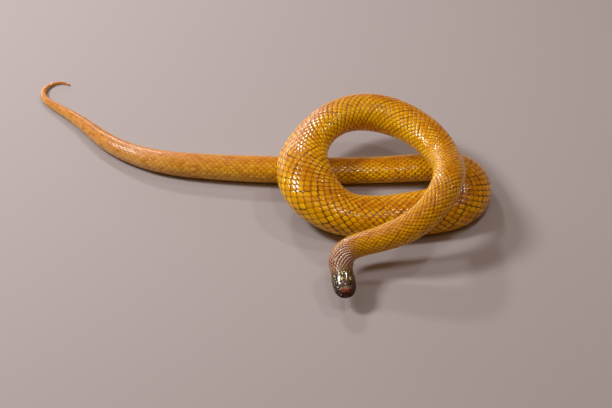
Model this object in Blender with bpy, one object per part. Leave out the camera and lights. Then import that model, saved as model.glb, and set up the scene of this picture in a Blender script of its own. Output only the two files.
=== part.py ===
# Coiled inland taipan, adult, resting with one loop of its body over itself.
# Metres inside Blender; the sizes below are in millimetres and degrees.
# The animal is one long tapering body laid along a spine. The spine is a short list
# of stretches, each turning by a stated angle, eased into the next one.
import bpy
import bmesh
import numpy as np

MM = 0.001

# Where the tail's tip lies, and which way the body leaves it (degrees from +X).
TIP_AT = (-249.15, 210.5)
TIP_HEADING = -223.1

# name, length, turn to the left, height of the belly over the floor at its end
STRETCHES = (
    ("tip", 30, 100.5, 0),
    ("hook", 45, 83.5, 0),
    ("tail", 100, -13, 0),
    ("sweep", 140, 43.5, 0),
    ("run", 165, 9.5, 0),
    ("under_loop", 145, 3, 0),
    ("into_turn", 35, -71.5, 0),
    ("hairpin", 85, -98.5, 0),
    ("front", 100, -14.5, 0),
    ("front_left", 110, -100, 28.5),
    ("over_tail", 80, -43.5, 37.5),
    ("left", 75, -67, 34),
    ("back", 80, -40, 36),
    ("right", 90, -36, 57),
    ("over_turn", 80, -60, 31),
    ("over_front", 45, -10, 21),
    ("neck_bend", 42, 110, 17),
    ("head", 41, -45, 16),
)
EASE = 28            # length over which one turn blends into the next
HEAD_STARTS = 1442   # distance from the tail's tip, along the spine
STRAIGHT_FROM = 1452 # from here on the skull keeps one direction

# distance from the tail's tip: body width
WIDTH = ((0, 2.5), (12, 4), (60, 9), (110, 14), (150, 18), (190, 22), (240, 26),
         (300, 31), (400, 35), (500, 38), (600, 44.5), (700, 59), (800, 55.5),
         (900, 68.5), (1000, 55), (1080, 59), (1150, 51.5), (1220, 41.5), (1300, 35.5),
         (1360, 33.5), (1400, 29.5), (1442, 28.6), (1470, 28))
# distance: height of the section as a share of its width
DEPTH = ((0, 0.95), (200, 0.95), (400, 0.9), (560, 0.7), (700, 0.72), (850, 0.72),
         (950, 0.7), (1100, 0.78), (1250, 0.8), (1400, 0.88), (1470, 0.88))
# distance: lean of the section, the side inside the coil lifted (degrees)
LEAN = ((0, 0), (500, 0), (600, 12), (700, 24), (780, 18), (860, -6), (940, 14),
        (1020, 24), (1100, 18), (1180, 15), (1260, 12), (1340, 11), (1400, 6), (1442, 0),
        (1470, 0))
BELLY = 0.885        # the belly is flat below this share of the half height
AROUND = 20          # points in one section

# Cuts between the named lengths of the body: node, where it ends, ring spacing.
LENGTHS = (
    ("tail_tip", 75, 5), ("tail", 220, 8), ("trunk_1", 400, 9), ("trunk_2", 590, 9),
    ("trunk_3", 655, 7), ("trunk_4", 730, 7), ("trunk_5", 860, 9), ("trunk_6", 960, 8),
    ("trunk_7", 1080, 8), ("trunk_8", 1200, 8), ("trunk_9", 1320, 8), ("neck", 1442, 5),
)
CUT = 0.3            # width of the gap between two lengths

# The head, measured forward from its joint with the neck.
HEAD_LENGTH = 46
HEAD_FALL = 9        # how far the lip line drops from the joint to the snout
HEAD_HALF_WIDTH = ((0, 14.3), (8, 13.0), (14, 12.7), (20, 13.5), (27, 13.3), (33, 12.7),
                   (39, 10.7), (42.5, 8.6), (44.7, 5.8), (45.7, 3.0), (46, 0.6))
HEAD_TOP = ((0, 12.6), (8, 11.2), (14, 10.8), (20, 10.4), (26, 10.0), (32, 9.2),
            (37, 7.9), (40.5, 6.6), (43.5, 4.6), (45.2, 2.8), (46, 0.5))
HEAD_CHIN = ((0, 11.1), (8, 9.2), (14, 7.8), (20, 6.8), (26, 6.0), (32, 5.2), (37, 4.5),
             (40.5, 3.9), (43.5, 3.0), (45.2, 1.9), (46, 0.4))
CANTHUS = 0.34       # how much narrower the crown is than the lips

EYE_RADIUS = 2.6
EYE_FORWARD = 35.0   # from the joint with the neck
EYE_OUT = 7.6
EYE_UP = 4.0
SOCKET_GAP = 0.3


def clear():
    """Empty the file."""
    for ob in list(bpy.data.objects):
        bpy.data.objects.remove(ob, do_unlink=True)


def curve(table, x):
    """Smooth rise and fall through a table without overshoot: cubic pieces whose slope
    at a knot is the harmonic mean of the slopes on its two sides."""
    k = np.array(table, float)
    xs, ys = k[:, 0], k[:, 1]
    step = np.diff(xs)
    rate = np.diff(ys) / step
    same = rate[1:] * rate[:-1] > 0
    a, b = 2 * step[1:] + step[:-1], step[1:] + 2 * step[:-1]
    safe0, safe1 = np.where(same, rate[:-1], 1), np.where(same, rate[1:], 1)
    slope = np.r_[rate[0], np.where(same, (a + b) / (a / safe0 + b / safe1), 0), rate[-1]]
    x = np.clip(x, xs[0], xs[-1])
    i = np.clip(np.searchsorted(xs, x, side="right") - 1, 0, len(step) - 1)
    t = (x - xs[i]) / step[i]
    return (ys[i] * (1 + 2 * t) * (1 - t) ** 2 + ys[i + 1] * t * t * (3 - 2 * t)
            + step[i] * (slope[i] * t * (1 - t) ** 2 + slope[i + 1] * t * t * (t - 1)))


def ease(values, width):
    """Running mean over width samples, the ends carried on in a straight line."""
    pad = width // 2
    before = values[0] + (values[1] - values[0]) * np.arange(-pad, 0)
    after = values[-1] + (values[-1] - values[-2]) * np.arange(1, pad + 1)
    total = np.cumsum(np.r_[0, before, values, after])
    return (total[width:] - total[:-width]) / width


def spine():
    """Walk the stretches in 1 mm steps. Returns distance, centre points, and the
    right-hand, up and forward directions there, with half width and half height."""
    lengths = np.array([row[1] for row in STRETCHES], float)
    ends = np.r_[0, np.cumsum(lengths)]
    turned = np.r_[0, np.cumsum([row[2] for row in STRETCHES])]
    s = np.arange(int(ends[-1]) + 1, dtype=float)
    heading = np.interp(s, ends, turned)
    heading = np.radians(TIP_HEADING + ease(ease(heading, EASE + 1), EASE + 1))
    heading = np.where(s > STRAIGHT_FROM, heading[STRAIGHT_FROM], heading)
    mid = (heading[1:] + heading[:-1]) / 2
    x = TIP_AT[0] + np.r_[0, np.cumsum(np.cos(mid))]
    y = TIP_AT[1] + np.r_[0, np.cumsum(np.sin(mid))]
    lift = curve(tuple(zip(ends, [0] + [row[3] for row in STRETCHES])), s)
    half_w = curve(WIDTH, s) / 2
    half_h = half_w * curve(DEPTH, s)
    lean = np.radians(curve(LEAN, s))
    reach = np.sqrt((half_h * np.cos(lean)) ** 2 + (half_w * np.sin(lean)) ** 2)
    z = lift + BELLY * reach
    ahead = np.clip((s - HEAD_STARTS) / HEAD_LENGTH, 0, 1)
    z = ease(np.where(ahead > 0, z[HEAD_STARTS] - HEAD_FALL * ahead, z), 13)
    path = np.stack([x, y, z], 1)
    forward = np.gradient(path, axis=0)
    forward /= np.linalg.norm(forward, axis=1)[:, None]
    right = np.cross(forward, (0, 0, 1))
    right /= np.linalg.norm(right, axis=1)[:, None]
    up = np.cross(right, forward)
    return dict(s=s, path=path, right=right, up=up, forward=forward,
                half_w=half_w, half_h=half_h, lean=lean, reach=reach, lift=lift)


def at(sp, s):
    """Every spine quantity at the distances s."""
    out = {}
    for key, value in sp.items():
        if value.ndim == 1:
            out[key] = np.interp(s, sp["s"], value)
        else:
            out[key] = np.stack([np.interp(s, sp["s"], value[:, k]) for k in range(3)], 1)
    for key in ("right", "up", "forward"):
        out[key] /= np.linalg.norm(out[key], axis=1)[:, None]
    return out


def body_rings(sp, s):
    """Leaning ellipses across the spine, cut flat below by the belly line."""
    q = at(sp, s)
    angle = (np.arange(AROUND) + 0.5) * 2 * np.pi / AROUND
    c = (q["half_w"][:, None] * np.cos(angle))
    d = (q["half_h"][:, None] * np.sin(angle))
    side = c * np.cos(q["lean"])[:, None] - d * np.sin(q["lean"])[:, None]
    rise = c * np.sin(q["lean"])[:, None] + d * np.cos(q["lean"])[:, None]
    rise = np.maximum(rise, -BELLY * q["reach"][:, None])
    rings = (q["path"][:, None] + side[..., None] * q["right"][:, None]
             + rise[..., None] * q["up"][:, None])
    low = rings[..., 2] < 0.6
    rings[..., 2] = np.where(low & (q["lift"][:, None] < 0.5), 0.0, rings[..., 2])
    return rings


def head_rings(sp, t):
    """Sections of the head: widest at the lips, narrowing to the crown, rounder below."""
    q = at(sp, HEAD_STARTS + t)
    angle = (np.arange(AROUND) + 0.5) * 2 * np.pi / AROUND
    c, d = np.cos(angle), np.sin(angle)
    wide, top, chin = (curve(k, t)[:, None] for k in (HEAD_HALF_WIDTH, HEAD_TOP, HEAD_CHIN))
    blend = np.clip(t / 14, 0, 1)[:, None]
    side = wide * np.sign(c) * np.abs(c) ** 0.9 * (1 - CANTHUS * blend * np.maximum(d, 0) ** 1.5)
    rise = np.where(d > 0, top * np.abs(d) ** 0.9, -chin * np.abs(d))
    return (q["path"][:, None] + side[..., None] * q["right"][:, None]
            + rise[..., None] * q["up"][:, None])


def solid(name, rings, colour, rough):
    """A closed tube through the rings, capped at both ends."""
    n, m = rings.shape[:2]
    k = np.arange(n * m).reshape(n, m)
    a, b = k[:-1], k[1:]
    a1, b1 = np.roll(a, -1, axis=1), np.roll(b, -1, axis=1)
    faces = np.stack([a, b, b1, a1], -1).reshape(-1, 4).tolist()
    faces += [k[0].tolist(), k[-1][::-1].tolist()]
    mesh = bpy.data.meshes.new(name)
    mesh.from_pydata((rings.reshape(-1, 3) * MM).tolist(), [], faces)
    ob = bpy.data.objects.new(name, mesh)
    bpy.context.scene.collection.objects.link(ob)
    bm = bmesh.new()
    bm.from_mesh(mesh)
    bmesh.ops.recalc_face_normals(bm, faces=bm.faces)
    bm.to_mesh(mesh)
    bm.free()
    paint(ob, colour, rough)
    return ob


def paint(ob, colour, rough):
    """Give the object its own plain material."""
    mat = bpy.data.materials.new(ob.name + "_skin")
    mat.use_nodes = True
    bsdf = mat.node_tree.nodes["Principled BSDF"]
    bsdf.inputs["Base Color"].default_value = (*colour, 1)
    bsdf.inputs["Roughness"].default_value = rough
    ob.data.materials.clear()
    ob.data.materials.append(mat)


def ball(name, centre, radius, colour, rough):
    """A round ball of rings between two poles."""
    rows, cols = 8, 14
    theta = np.linspace(0, np.pi, rows + 1)[1:-1]
    phi = np.arange(cols) * 2 * np.pi / cols
    pts = np.stack([np.sin(theta)[:, None] * np.cos(phi), np.sin(theta)[:, None] * np.sin(phi),
                    np.cos(theta)[:, None] * np.ones(cols)], -1)
    verts = np.vstack([pts.reshape(-1, 3), [(0, 0, 1), (0, 0, -1)]]) * radius + centre
    k = np.arange((rows - 1) * cols).reshape(rows - 1, cols)
    right = np.roll(k, -1, axis=1)
    faces = np.stack([k[:-1], k[1:], right[1:], right[:-1]], -1).reshape(-1, 4).tolist()
    faces += [[len(verts) - 2, k[0, j], right[0, j]] for j in range(cols)]
    faces += [[len(verts) - 1, right[-1, j], k[-1, j]] for j in range(cols)]
    mesh = bpy.data.meshes.new(name)
    mesh.from_pydata((verts * MM).tolist(), [], faces)
    ob = bpy.data.objects.new(name, mesh)
    bpy.context.scene.collection.objects.link(ob)
    paint(ob, colour, rough)
    return ob


def hollow(ob, cutters):
    """Cut the cutters out of the object, then drop them."""
    for cutter in cutters:
        mod = ob.modifiers.new("socket", "BOOLEAN")
        mod.operation = "DIFFERENCE"
        mod.solver = "EXACT"
        mod.object = cutter
    graph = bpy.context.evaluated_depsgraph_get()
    mesh = bpy.data.meshes.new_from_object(ob.evaluated_get(graph))
    ob.modifiers.clear()
    ob.data = mesh
    for cutter in cutters:
        bpy.data.objects.remove(cutter, do_unlink=True)


GOLD = (0.52, 0.25, 0.04)
DARK = (0.10, 0.03, 0.02)
BLACK = (0.02, 0.015, 0.012)

clear()
line = spine()

start = 0.0
for node, end, spacing in LENGTHS:
    first = start + (CUT / 2 if start else 0)
    last = end - CUT / 2
    count = int(round((end - start) / spacing)) + 1
    rings = body_rings(line, np.linspace(first, last, count))
    solid(node, rings, GOLD, 0.35)
    start = float(end)

stations = np.r_[CUT / 2, 4, 8, 12, 16, 20, 24, 27.5, 30.5, 33, 35.5, 38, 40.2, 42, 43.4, 44.5,
                 45.3, 45.8, 46]
head = solid("head", head_rings(line, stations), DARK, 0.3)
eye = at(line, np.array([float(HEAD_STARTS + EYE_FORWARD)]))
sockets = []
for side, node in ((-1, "eye_left"), (1, "eye_right")):
    centre = (eye["path"] + side * EYE_OUT * eye["right"] + EYE_UP * eye["up"])[0]
    ball(node, centre, EYE_RADIUS, BLACK, 0.1)
    sockets.append(ball("cut_" + node, centre, EYE_RADIUS + SOCKET_GAP, BLACK, 0.1))
hollow(head, sockets)
paint(head, DARK, 0.3)
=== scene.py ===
# Coiled inland taipan: the skin, the overlapping scales, the belly plates, the head
# shields and the eyes, laid over the solids. Metres, +Z up; the tables of the
# body's shape are in millimetres along the spine, which starts at the tail's tip.
import math

import bpy
import numpy as np
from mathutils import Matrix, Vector


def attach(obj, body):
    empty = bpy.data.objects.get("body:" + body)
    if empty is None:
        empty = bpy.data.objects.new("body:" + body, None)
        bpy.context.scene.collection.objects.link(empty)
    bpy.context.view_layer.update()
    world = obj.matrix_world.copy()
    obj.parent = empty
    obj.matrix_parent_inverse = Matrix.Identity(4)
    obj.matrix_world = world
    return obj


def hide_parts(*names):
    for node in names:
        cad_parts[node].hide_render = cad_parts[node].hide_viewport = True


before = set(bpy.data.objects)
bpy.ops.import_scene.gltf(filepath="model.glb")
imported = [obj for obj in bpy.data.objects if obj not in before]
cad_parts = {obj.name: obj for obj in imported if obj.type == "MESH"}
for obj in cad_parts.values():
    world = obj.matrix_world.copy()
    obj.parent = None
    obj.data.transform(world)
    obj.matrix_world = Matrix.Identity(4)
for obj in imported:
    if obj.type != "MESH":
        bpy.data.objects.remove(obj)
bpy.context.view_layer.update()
MM = 0.001

# ------------------------------
# SKIN
# One soft dry skin from the tail's tip to the snout, seen only in the narrow gaps
# between scales. It is one closed sheet, sunk into each solid by the scales' depth.
# ------------------------------
TIP_AT = (-249.15, 210.5)
TIP_HEADING = -223.1
# length, turn to the left in degrees, height of the belly over the floor at its end
STRETCHES = ((30, 100.5, 0), (45, 83.5, 0), (100, -13, 0), (140, 43.5, 0), (165, 9.5, 0),
             (145, 3, 0), (35, -71.5, 0), (85, -98.5, 0), (100, -14.5, 0),
             (110, -100, 28.5), (80, -43.5, 37.5), (75, -67, 34), (80, -40, 36),
             (90, -36, 57), (80, -60, 31), (45, -10, 21), (42, 110, 17), (41, -45, 16))
EASE = 28              # length over which one turn blends into the next
HEAD_STARTS = 1442
STRAIGHT_FROM = 1452   # from here on the skull keeps one direction
# distance: width of the body
WIDTH = ((0, 2.5), (12, 4), (60, 9), (110, 14), (150, 18), (190, 22), (240, 26), (300, 31),
         (400, 35), (500, 38), (600, 44.5), (700, 59), (800, 55.5), (900, 68.5), (1000, 55),
         (1080, 59), (1150, 51.5), (1220, 41.5), (1300, 35.5), (1360, 33.5), (1400, 29.5),
         (1442, 28.6), (1470, 28))
# distance: height of the section as a share of its width
DEPTH = ((0, 0.95), (200, 0.95), (400, 0.9), (560, 0.7), (700, 0.72), (850, 0.72), (950, 0.7),
         (1100, 0.78), (1250, 0.8), (1400, 0.88), (1470, 0.88))
# distance: lean of the section in degrees, the side inside the coil lifted
LEAN = ((0, 0), (500, 0), (600, 12), (700, 24), (780, 18), (860, -6), (940, 14), (1020, 24),
        (1100, 18), (1180, 15), (1260, 12), (1340, 11), (1400, 6), (1442, 0), (1470, 0))
BELLY = 0.885          # the belly is flat below this share of the half height
BELLY_SOFT = 0.06      # how softly the flat begins
TIP_CLOSES = 2.5       # length over which the tail's tip rounds off
HEAD_LENGTH = 46
HEAD_FALL = 9          # how far the lip line drops from the joint to the snout
# distance from the head's joint: half width, and height over and depth under the spine
HEAD_HALF_WIDTH = ((0, 14.3), (8, 13.0), (14, 12.7), (20, 13.5), (27, 13.3), (33, 12.7),
                   (39, 10.7), (42.5, 8.6), (44.7, 5.8), (45.7, 3.0), (46, 0.6))
HEAD_TOP = ((0, 12.6), (8, 11.2), (14, 10.8), (20, 10.4), (26, 10.0), (32, 9.2), (37, 7.9),
            (40.5, 6.6), (43.5, 4.6), (45.2, 2.8), (46, 0.5))
HEAD_CHIN = ((0, 11.1), (8, 9.2), (14, 7.8), (20, 6.8), (26, 6.0), (32, 5.2), (37, 4.5),
             (40.5, 3.9), (43.5, 3.0), (45.2, 1.9), (46, 0.4))
CANTHUS = 0.34         # how much narrower the crown is than the lips
HEAD_BLEND = 14        # length over which the body's section turns into the head's
SNAKE_LENGTH = HEAD_STARTS + HEAD_LENGTH
# distance: length of one scale row along the body, which sets the scales' depth too
ROW = ((0, 2.6), (60, 4.0), (220, 6.4), (450, 7.4), (850, 8.2), (1050, 7.8), (1250, 6.8),
       (1390, 6.2), (1430, 5.8), (1456, 5.2), (1467, 3.6), (1478, 2.5), (1488, 2.4))
SCALE_DEPTH = 0.13   # as a share of the row's length
INSET = 0.08         # how far the coat stays inside the outline, in millimetres
EYE_RADIUS = 2.6
EYE_FORWARD, EYE_OUT, EYE_UP = 35.0, 7.6, 4.0
SOCKET_RADIUS = 2.85
COLUMNS = 96         # points of the shape's table between the spine line and the belly line


def curve(table, x):
    """Smooth rise and fall through a table without overshoot: cubic pieces whose slope at
    a knot is the harmonic mean of the slopes on its two sides."""
    k = np.array(table, float)
    xs, ys = k[:, 0], k[:, 1]
    step = np.diff(xs)
    rate = np.diff(ys) / step
    same = rate[1:] * rate[:-1] > 0
    a, b = 2 * step[1:] + step[:-1], step[1:] + 2 * step[:-1]
    safe0, safe1 = np.where(same, rate[:-1], 1), np.where(same, rate[1:], 1)
    slope = np.r_[rate[0], np.where(same, (a + b) / (a / safe0 + b / safe1), 0), rate[-1]]
    x = np.clip(x, xs[0], xs[-1])
    i = np.clip(np.searchsorted(xs, x, side="right") - 1, 0, len(step) - 1)
    t = (x - xs[i]) / step[i]
    return (ys[i] * (1 + 2 * t) * (1 - t) ** 2 + ys[i + 1] * t * t * (3 - 2 * t)
            + step[i] * (slope[i] * t * (1 - t) ** 2 + slope[i + 1] * t * t * (t - 1)))


def ease(values, width):
    """Running mean over width samples, the ends carried on in a straight line."""
    pad = width // 2
    before = values[0] + (values[1] - values[0]) * np.arange(-pad, 0)
    after = values[-1] + (values[-1] - values[-2]) * np.arange(1, pad + 1)
    total = np.cumsum(np.r_[0, before, values, after])
    return (total[width:] - total[:-width]) / width


def spine():
    """The line through the body in 1 mm steps, as the solids have it: each step turns by
    its stretch's share of the bend, and the belly's height plus the section's reach gives
    its height. Returns distance, points and the right, up and forward directions."""
    ends = np.r_[0, np.cumsum([row[0] for row in STRETCHES])]
    turned = np.r_[0, np.cumsum([row[1] for row in STRETCHES])]
    s = np.arange(int(ends[-1]) + 1, dtype=float)
    heading = np.radians(TIP_HEADING + ease(ease(np.interp(s, ends, turned), EASE + 1), EASE + 1))
    heading = np.where(s > STRAIGHT_FROM, heading[STRAIGHT_FROM], heading)
    mid = (heading[1:] + heading[:-1]) / 2
    x = TIP_AT[0] + np.r_[0, np.cumsum(np.cos(mid))]
    y = TIP_AT[1] + np.r_[0, np.cumsum(np.sin(mid))]
    lift = curve(tuple(zip(ends, [0] + [row[2] for row in STRETCHES])), s)
    half_w = curve(WIDTH, s) / 2
    half_h = half_w * curve(DEPTH, s)
    lean = np.radians(curve(LEAN, s))
    reach = np.sqrt((half_h * np.cos(lean)) ** 2 + (half_w * np.sin(lean)) ** 2)
    z = lift + BELLY * reach
    ahead = np.clip((s - HEAD_STARTS) / HEAD_LENGTH, 0, 1)
    z = ease(np.where(ahead > 0, z[HEAD_STARTS] - HEAD_FALL * ahead, z), 13)
    path = np.stack([x, y, z], 1)
    forward = np.gradient(path, axis=0)
    forward /= np.linalg.norm(forward, axis=1)[:, None]
    right = np.cross(forward, (0, 0, 1))
    right /= np.linalg.norm(right, axis=1)[:, None]
    return dict(s=s, path=path, right=right, up=np.cross(right, forward), forward=forward,
                half_w=half_w, half_h=half_h, lean=lean, reach=reach)


def along_spine(line, s):
    """Every spine quantity read off at the distances s."""
    out = {}
    for key, value in line.items():
        if value.ndim == 1:
            out[key] = np.interp(s, line["s"], value)
        else:
            out[key] = np.stack([np.interp(s, line["s"], value[:, k]) for k in range(3)], 1)
    return out


def outline(q, angle):
    """Sections of the animal as (sideways, upwards) distances from the spine: a leaning
    ellipse whose underside is pressed flat, which turns into the head's own section,
    widest at the lips and narrower at the crown."""
    c, d = np.cos(angle), np.sin(angle)
    w, h, lean = q["half_w"][:, None], q["half_h"][:, None], q["lean"][:, None]
    closing = np.sqrt(1 - (1 - np.clip(q["s"] / TIP_CLOSES, 0, 1)) ** 2)[:, None]
    side = closing * (w * c * np.cos(lean) - h * d * np.sin(lean))
    rise = closing * (w * c * np.sin(lean) + h * d * np.cos(lean))
    over = rise + BELLY * q["reach"][:, None]
    rise = (over + np.sqrt(over ** 2 + BELLY_SOFT)) / 2 - BELLY * q["reach"][:, None]
    t = q["s"] - HEAD_STARTS
    wide, top, chin = (curve(k, t)[:, None] for k in (HEAD_HALF_WIDTH, HEAD_TOP, HEAD_CHIN))
    blend = np.clip(t / HEAD_BLEND, 0, 1)[:, None]
    head_side = (wide * np.sign(c) * np.abs(c) ** 0.9
                 * (1 - CANTHUS * blend * np.maximum(d, 0) ** 1.5))
    head_rise = np.where(d > 0, top * np.abs(d) ** 0.9, -chin * np.abs(d))
    share = np.clip((t + 8) / HEAD_BLEND, 0, 1)[:, None]
    share = share * share * (3 - 2 * share)
    return side + share * (head_side - side), rise + share * (head_rise - rise)


def even_steps(side, rise):
    """The same sections with their points at even steps of length from the spine line
    (column 0) to the belly line (last column)."""
    run = np.hypot(np.diff(side, axis=1), np.diff(rise, axis=1))
    run = np.hstack([np.zeros((len(run), 1)), np.cumsum(run, axis=1)])
    girth = run[:, -1]
    run /= np.maximum(girth, 1e-9)[:, None]
    want = np.linspace(0, 1, COLUMNS + 1)
    pick = [(np.interp(want, r, a), np.interp(want, r, b)) for r, a, b in zip(run, side, rise)]
    return np.array([p[0] for p in pick]), np.array([p[1] for p in pick]), girth


def bump(x, middle, spread):
    """A round hill of height 1: e to the power of minus the squared distance."""
    return np.exp(-((x - middle) / spread) ** 2)


def lip_line(t):
    """How high the mouth's slit lies on the side of the head."""
    return curve(((14, 0.4), (19, -0.9), (25, -2.0), (32, -1.9), (39, -1.2), (46, -1.0)), t)


NOSTRIL = (42.7, 2.9)    # forward and up


def hollows(t, side, rise):
    """How deep the head's outline is pressed in: before and round the eye, along the
    mouth, under the lip, at the nostril, between the brows and down the chin."""
    x = np.abs(side)
    mouth = np.clip((t - 16) / 4, 0, 1)
    below = 1 / (1 + np.exp((rise - lip_line(t)) / 0.25))
    deep = 0.7 * bump(t, 40.2, 2.4) * bump(rise, 3.4, 1.6) * (x > 3)
    deep += 0.4 * bump(t, 34.5, 4.2) * bump(rise, 3.6, 2.1) * (x > 5)
    deep += mouth * (0.45 * bump(rise, lip_line(t), 0.42) + 0.4 * below)
    deep += 0.6 * bump(t, NOSTRIL[0], 0.5) * bump(rise, NOSTRIL[1], 0.45) * (x > 3)
    deep += 0.55 * bump(t, 38.3, 1.7) * bump(x, 0, 5.5) * (rise > 0)
    deep += 0.2 * bump(t, 33, 7) * bump(x, 0, 0.5) * (rise < 0)
    return np.where((t > 0) & (t < 45.9), deep, 0)


# stations stand closer at the tail's tip and on the head
FINE_UNTIL, FINE_FROM = 4, 1440
line = spine()
stations = np.r_[np.linspace(0, FINE_UNTIL, 17)[:-1], np.arange(FINE_UNTIL, FINE_FROM, 1.0),
                 np.arange(FINE_FROM, SNAKE_LENGTH - 4, 0.25),
                 SNAKE_LENGTH - 4 * np.linspace(1, 0, 41) ** 2]
q = along_spine(line, stations)
quarter = np.linspace(np.pi / 2, -np.pi / 2, 4 * COLUMNS + 1)
right_side, right_rise, girth_right = even_steps(*outline(q, quarter))
left_side, left_rise, girth_left = even_steps(*outline(q, np.pi - quarter))
# columns run from the belly line over the left side and the back to the belly line again
flat_side = np.hstack([left_side[:, :0:-1], right_side])
flat_rise = np.hstack([left_rise[:, :0:-1], right_rise])
half_girth = (girth_right + girth_left) / 2
outer = (q["path"][:, None] + flat_side[..., None] * q["right"][:, None]
         + flat_rise[..., None] * q["up"][:, None])
ring = np.hstack([outer[:, -2:-1], outer, outer[:, 1:2]])
normal = np.cross(ring[:, 2:] - ring[:, :-2], np.gradient(outer, axis=0))
normal /= np.maximum(np.linalg.norm(normal, axis=2), 1e-9)[..., None]
probe = 500    # any section inside the body tells outwards from inwards
normal *= np.sign((normal[probe] * (outer[probe] - q["path"][probe])).sum())
normal[-1], normal[0] = q["forward"][-1], -q["forward"][0]
outer[-1], outer[0] = outer[-1].mean(0), outer[0].mean(0)
outer -= normal * hollows(stations[:, None] - HEAD_STARTS, flat_side, flat_rise)[..., None]
shape = np.concatenate([outer, normal], axis=2)


def place(s, around, height):
    """A point in metres at distance s along the spine, at around = 0 on the spine line,
    +1 or -1 on the belly line by the right or left side, and height over the outline."""
    i = np.interp(s, stations, np.arange(len(stations)))
    j = ((around + 1) % 2) * COLUMNS
    i0 = np.minimum(i.astype(int), len(stations) - 2)
    j0 = np.minimum(j.astype(int), 2 * COLUMNS - 1)
    u, v = (i - i0)[..., None], (j - j0)[..., None]
    at = ((shape[i0, j0] * (1 - u) + shape[i0 + 1, j0] * u) * (1 - v)
          + (shape[i0, j0 + 1] * (1 - u) + shape[i0 + 1, j0 + 1] * u) * v)
    return (at[..., :3] + at[..., 3:] * (np.asarray(height) - INSET)[..., None]) * MM


def scale_depth(s):
    """How thick the coat of scales is at the distance s."""
    return SCALE_DEPTH * curve(ROW, s)


def eye_centre(side):
    """The middle of the eye on one side (-1 left, +1 right), in metres."""
    e = along_spine(line, np.array([HEAD_STARTS + EYE_FORWARD]))
    return (e["path"] + side * EYE_OUT * e["right"] + EYE_UP * e["up"])[0] * MM


def sink_round_eye(points, side):
    """Points nearer the eye's middle than the socket go to the socket's inner wall: their
    distance from the eye's axis stays, and their depth is that of a ball there."""
    e = along_spine(line, np.array([HEAD_STARTS + EYE_FORWARD]))
    axis = side * e["right"][0]
    off = points - eye_centre(side)
    out = off @ axis
    aside = np.linalg.norm(off - out[..., None] * axis, axis=-1)
    wall = -np.sqrt(np.maximum((SOCKET_RADIUS * MM) ** 2 - aside ** 2, 0))
    inside = (np.linalg.norm(off, axis=-1) < SOCKET_RADIUS * MM) & (out > wall)
    return points + np.where(inside, wall - out, 0)[..., None] * axis


def linear(hexcode):
    """An sRGB colour such as "#C0A080" as linear red, green, blue and 1."""
    c = np.array([int(hexcode[k:k + 2], 16) for k in (1, 3, 5)]) / 255
    return (*np.where(c <= 0.04045, c / 12.92, ((c + 0.055) / 1.055) ** 2.4).tolist(), 1.0)


def add_node(tree, kind, links=(), stops=(), **settings):
    """A node with its settings; links are (input name or number, output socket or value),
    and stops are a ramp's (place, hex colour)."""
    made = tree.nodes.new("ShaderNode" + kind)
    for key, value in settings.items():
        setattr(made, key, value)
    for socket, source in links:
        if isinstance(source, bpy.types.NodeSocket):
            tree.links.new(source, made.inputs[socket])
        else:
            made.inputs[socket].default_value = source
    for number, (at, colour) in enumerate(stops):
        bar = made.color_ramp.elements
        element = bar[number] if number < 2 else bar.new(at)
        element.position, element.color = at, linear(colour)
    return made


def new_material(name, **constant):
    """An empty Principled material; constant sets its plain sockets by name."""
    mat = bpy.data.materials.new(name)
    mat.use_nodes = True
    bsdf = mat.node_tree.nodes["Principled BSDF"]
    for key, value in constant.items():
        bsdf.inputs[key.replace("_", " ")].default_value = value
    return mat, mat.node_tree, bsdf


# colours around the body, from the line of the spine (0) to the middle of the belly (1)
TRUNK = ((0, "#CE8402"), (0.5, "#F6BE02"), (0.3, "#EAA802"), (0.66, "#F0BC2C"), (0.8, "#E8C676"))
TAIL = ((0, "#BC7424"), (0.66, "#E2B87C"), (0.35, "#D6984C"), (0.8, "#E8CCA0"))
NAPE = ((0, "#7E4604"), (0.5, "#A06008"), (0.3, "#8C4E06"), (0.64, "#C8A050"), (0.8, "#DEBE78"))
CROWN = ((0, "#6E4E16"), (0.5, "#6A431A"), (0.35, "#5A3A10"), (0.6, "#8A6434"), (0.8, "#D2AE6C"))
SNOUT = ((0, "#4E1404"), (0.5, "#3A1404"), (0.3, "#3C1004"), (0.62, "#4E2810"), (0.8, "#CBA468"))


def markings(tree):
    """The animal's colours, alike on skin and scales: each ring of the body has a ramp from
    back to belly, and the rings blend from the tail to the snout."""
    mark = {name: add_node(tree, "Attribute", attribute_name=name).outputs["Fac"]
            for name in ("around", "along")}
    colour = add_node(tree, "ValToRGB", [(0, mark["around"])], TRUNK).outputs[0]
    for ring, start, end in ((TAIL, 0.30, 0.15), (NAPE, 0.945, 0.968), (CROWN, 0.9745, 0.980),
                             (SNOUT, 0.9885, 0.9925)):
        share = add_node(tree, "MapRange", [(0, mark["along"]), (1, start), (2, end)])
        other = add_node(tree, "ValToRGB", [(0, mark["around"])], ring)
        colour = add_node(tree, "Mix", [(0, share.outputs[0]), (6, colour), (7, other.outputs[0])],
                          data_type="RGBA").outputs[2]
    return colour


def build_mesh(name, points, faces, values, unwrap):
    """A smooth mesh from points and faces, with a number per point for each value name
    and the unwrapped place of each point as its OFBake map."""
    mesh = bpy.data.meshes.new(name)
    mesh.from_pydata(points.reshape(-1, 3).tolist(), [], faces)
    for key, value in values.items():
        layer = mesh.attributes.new(key, "FLOAT", "POINT")
        layer.data.foreach_set("value", np.ascontiguousarray(value, np.float32).ravel())
    corner = np.zeros(len(mesh.loops), np.int32)
    mesh.loops.foreach_get("vertex_index", corner)
    uv = mesh.uv_layers.new(name="OFBake")
    uv.uv.foreach_set("vector", unwrap.reshape(-1, 2)[corner].astype(np.float32).ravel())
    mesh.shade_smooth()
    ob = bpy.data.objects.new(name, mesh)
    bpy.context.scene.collection.objects.link(ob)
    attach(ob, "root")
    return ob


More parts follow.
